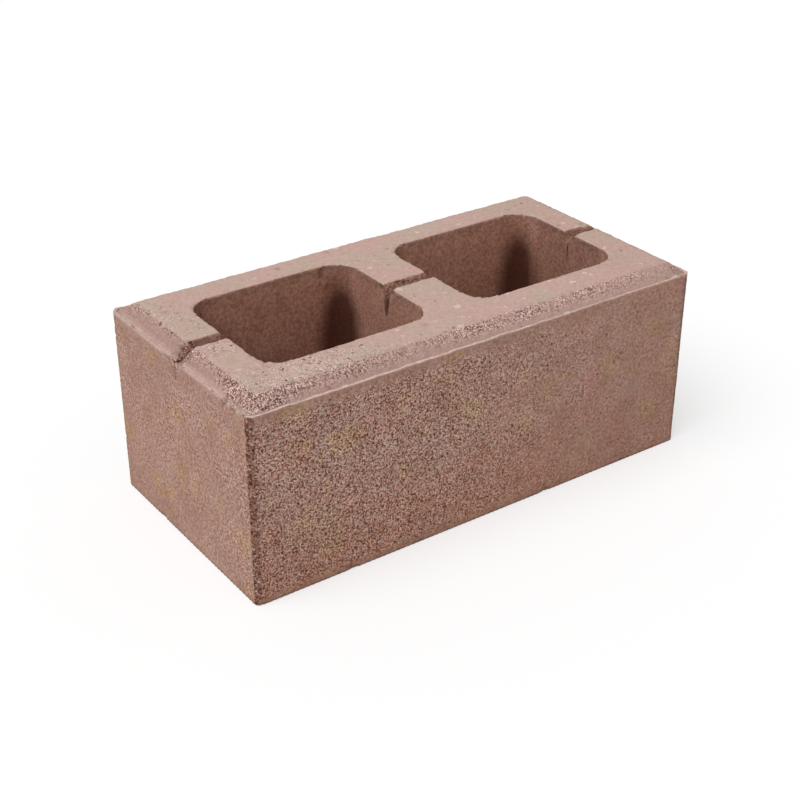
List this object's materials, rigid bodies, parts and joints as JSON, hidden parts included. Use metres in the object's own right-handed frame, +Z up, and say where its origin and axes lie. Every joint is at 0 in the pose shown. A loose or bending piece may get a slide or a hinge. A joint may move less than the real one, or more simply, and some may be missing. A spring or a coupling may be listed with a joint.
{
  "type": "fence masonry block",
  "caption": "Hollow concrete fence block with tapered rectangular cores, a bevelled top rim and a lengthways bar groove across its webs, for dry or mortared walls and posts.",
  "frame": {"origin": "centre of the block's underside", "axes": "+X along the length, +Y through the thickness of the wall away from the long face in front, +Z up towards the grooved bed"},
  "size_m": [0.4, 0.2, 0.16],
  "materials": {
    "concrete": "matt pinkish-brown coloured concrete, pressed, with a fine granular surface"
  },
  "bodies": {
    "root": {"fence_block": "concrete"}
  },
  "joints": []
}
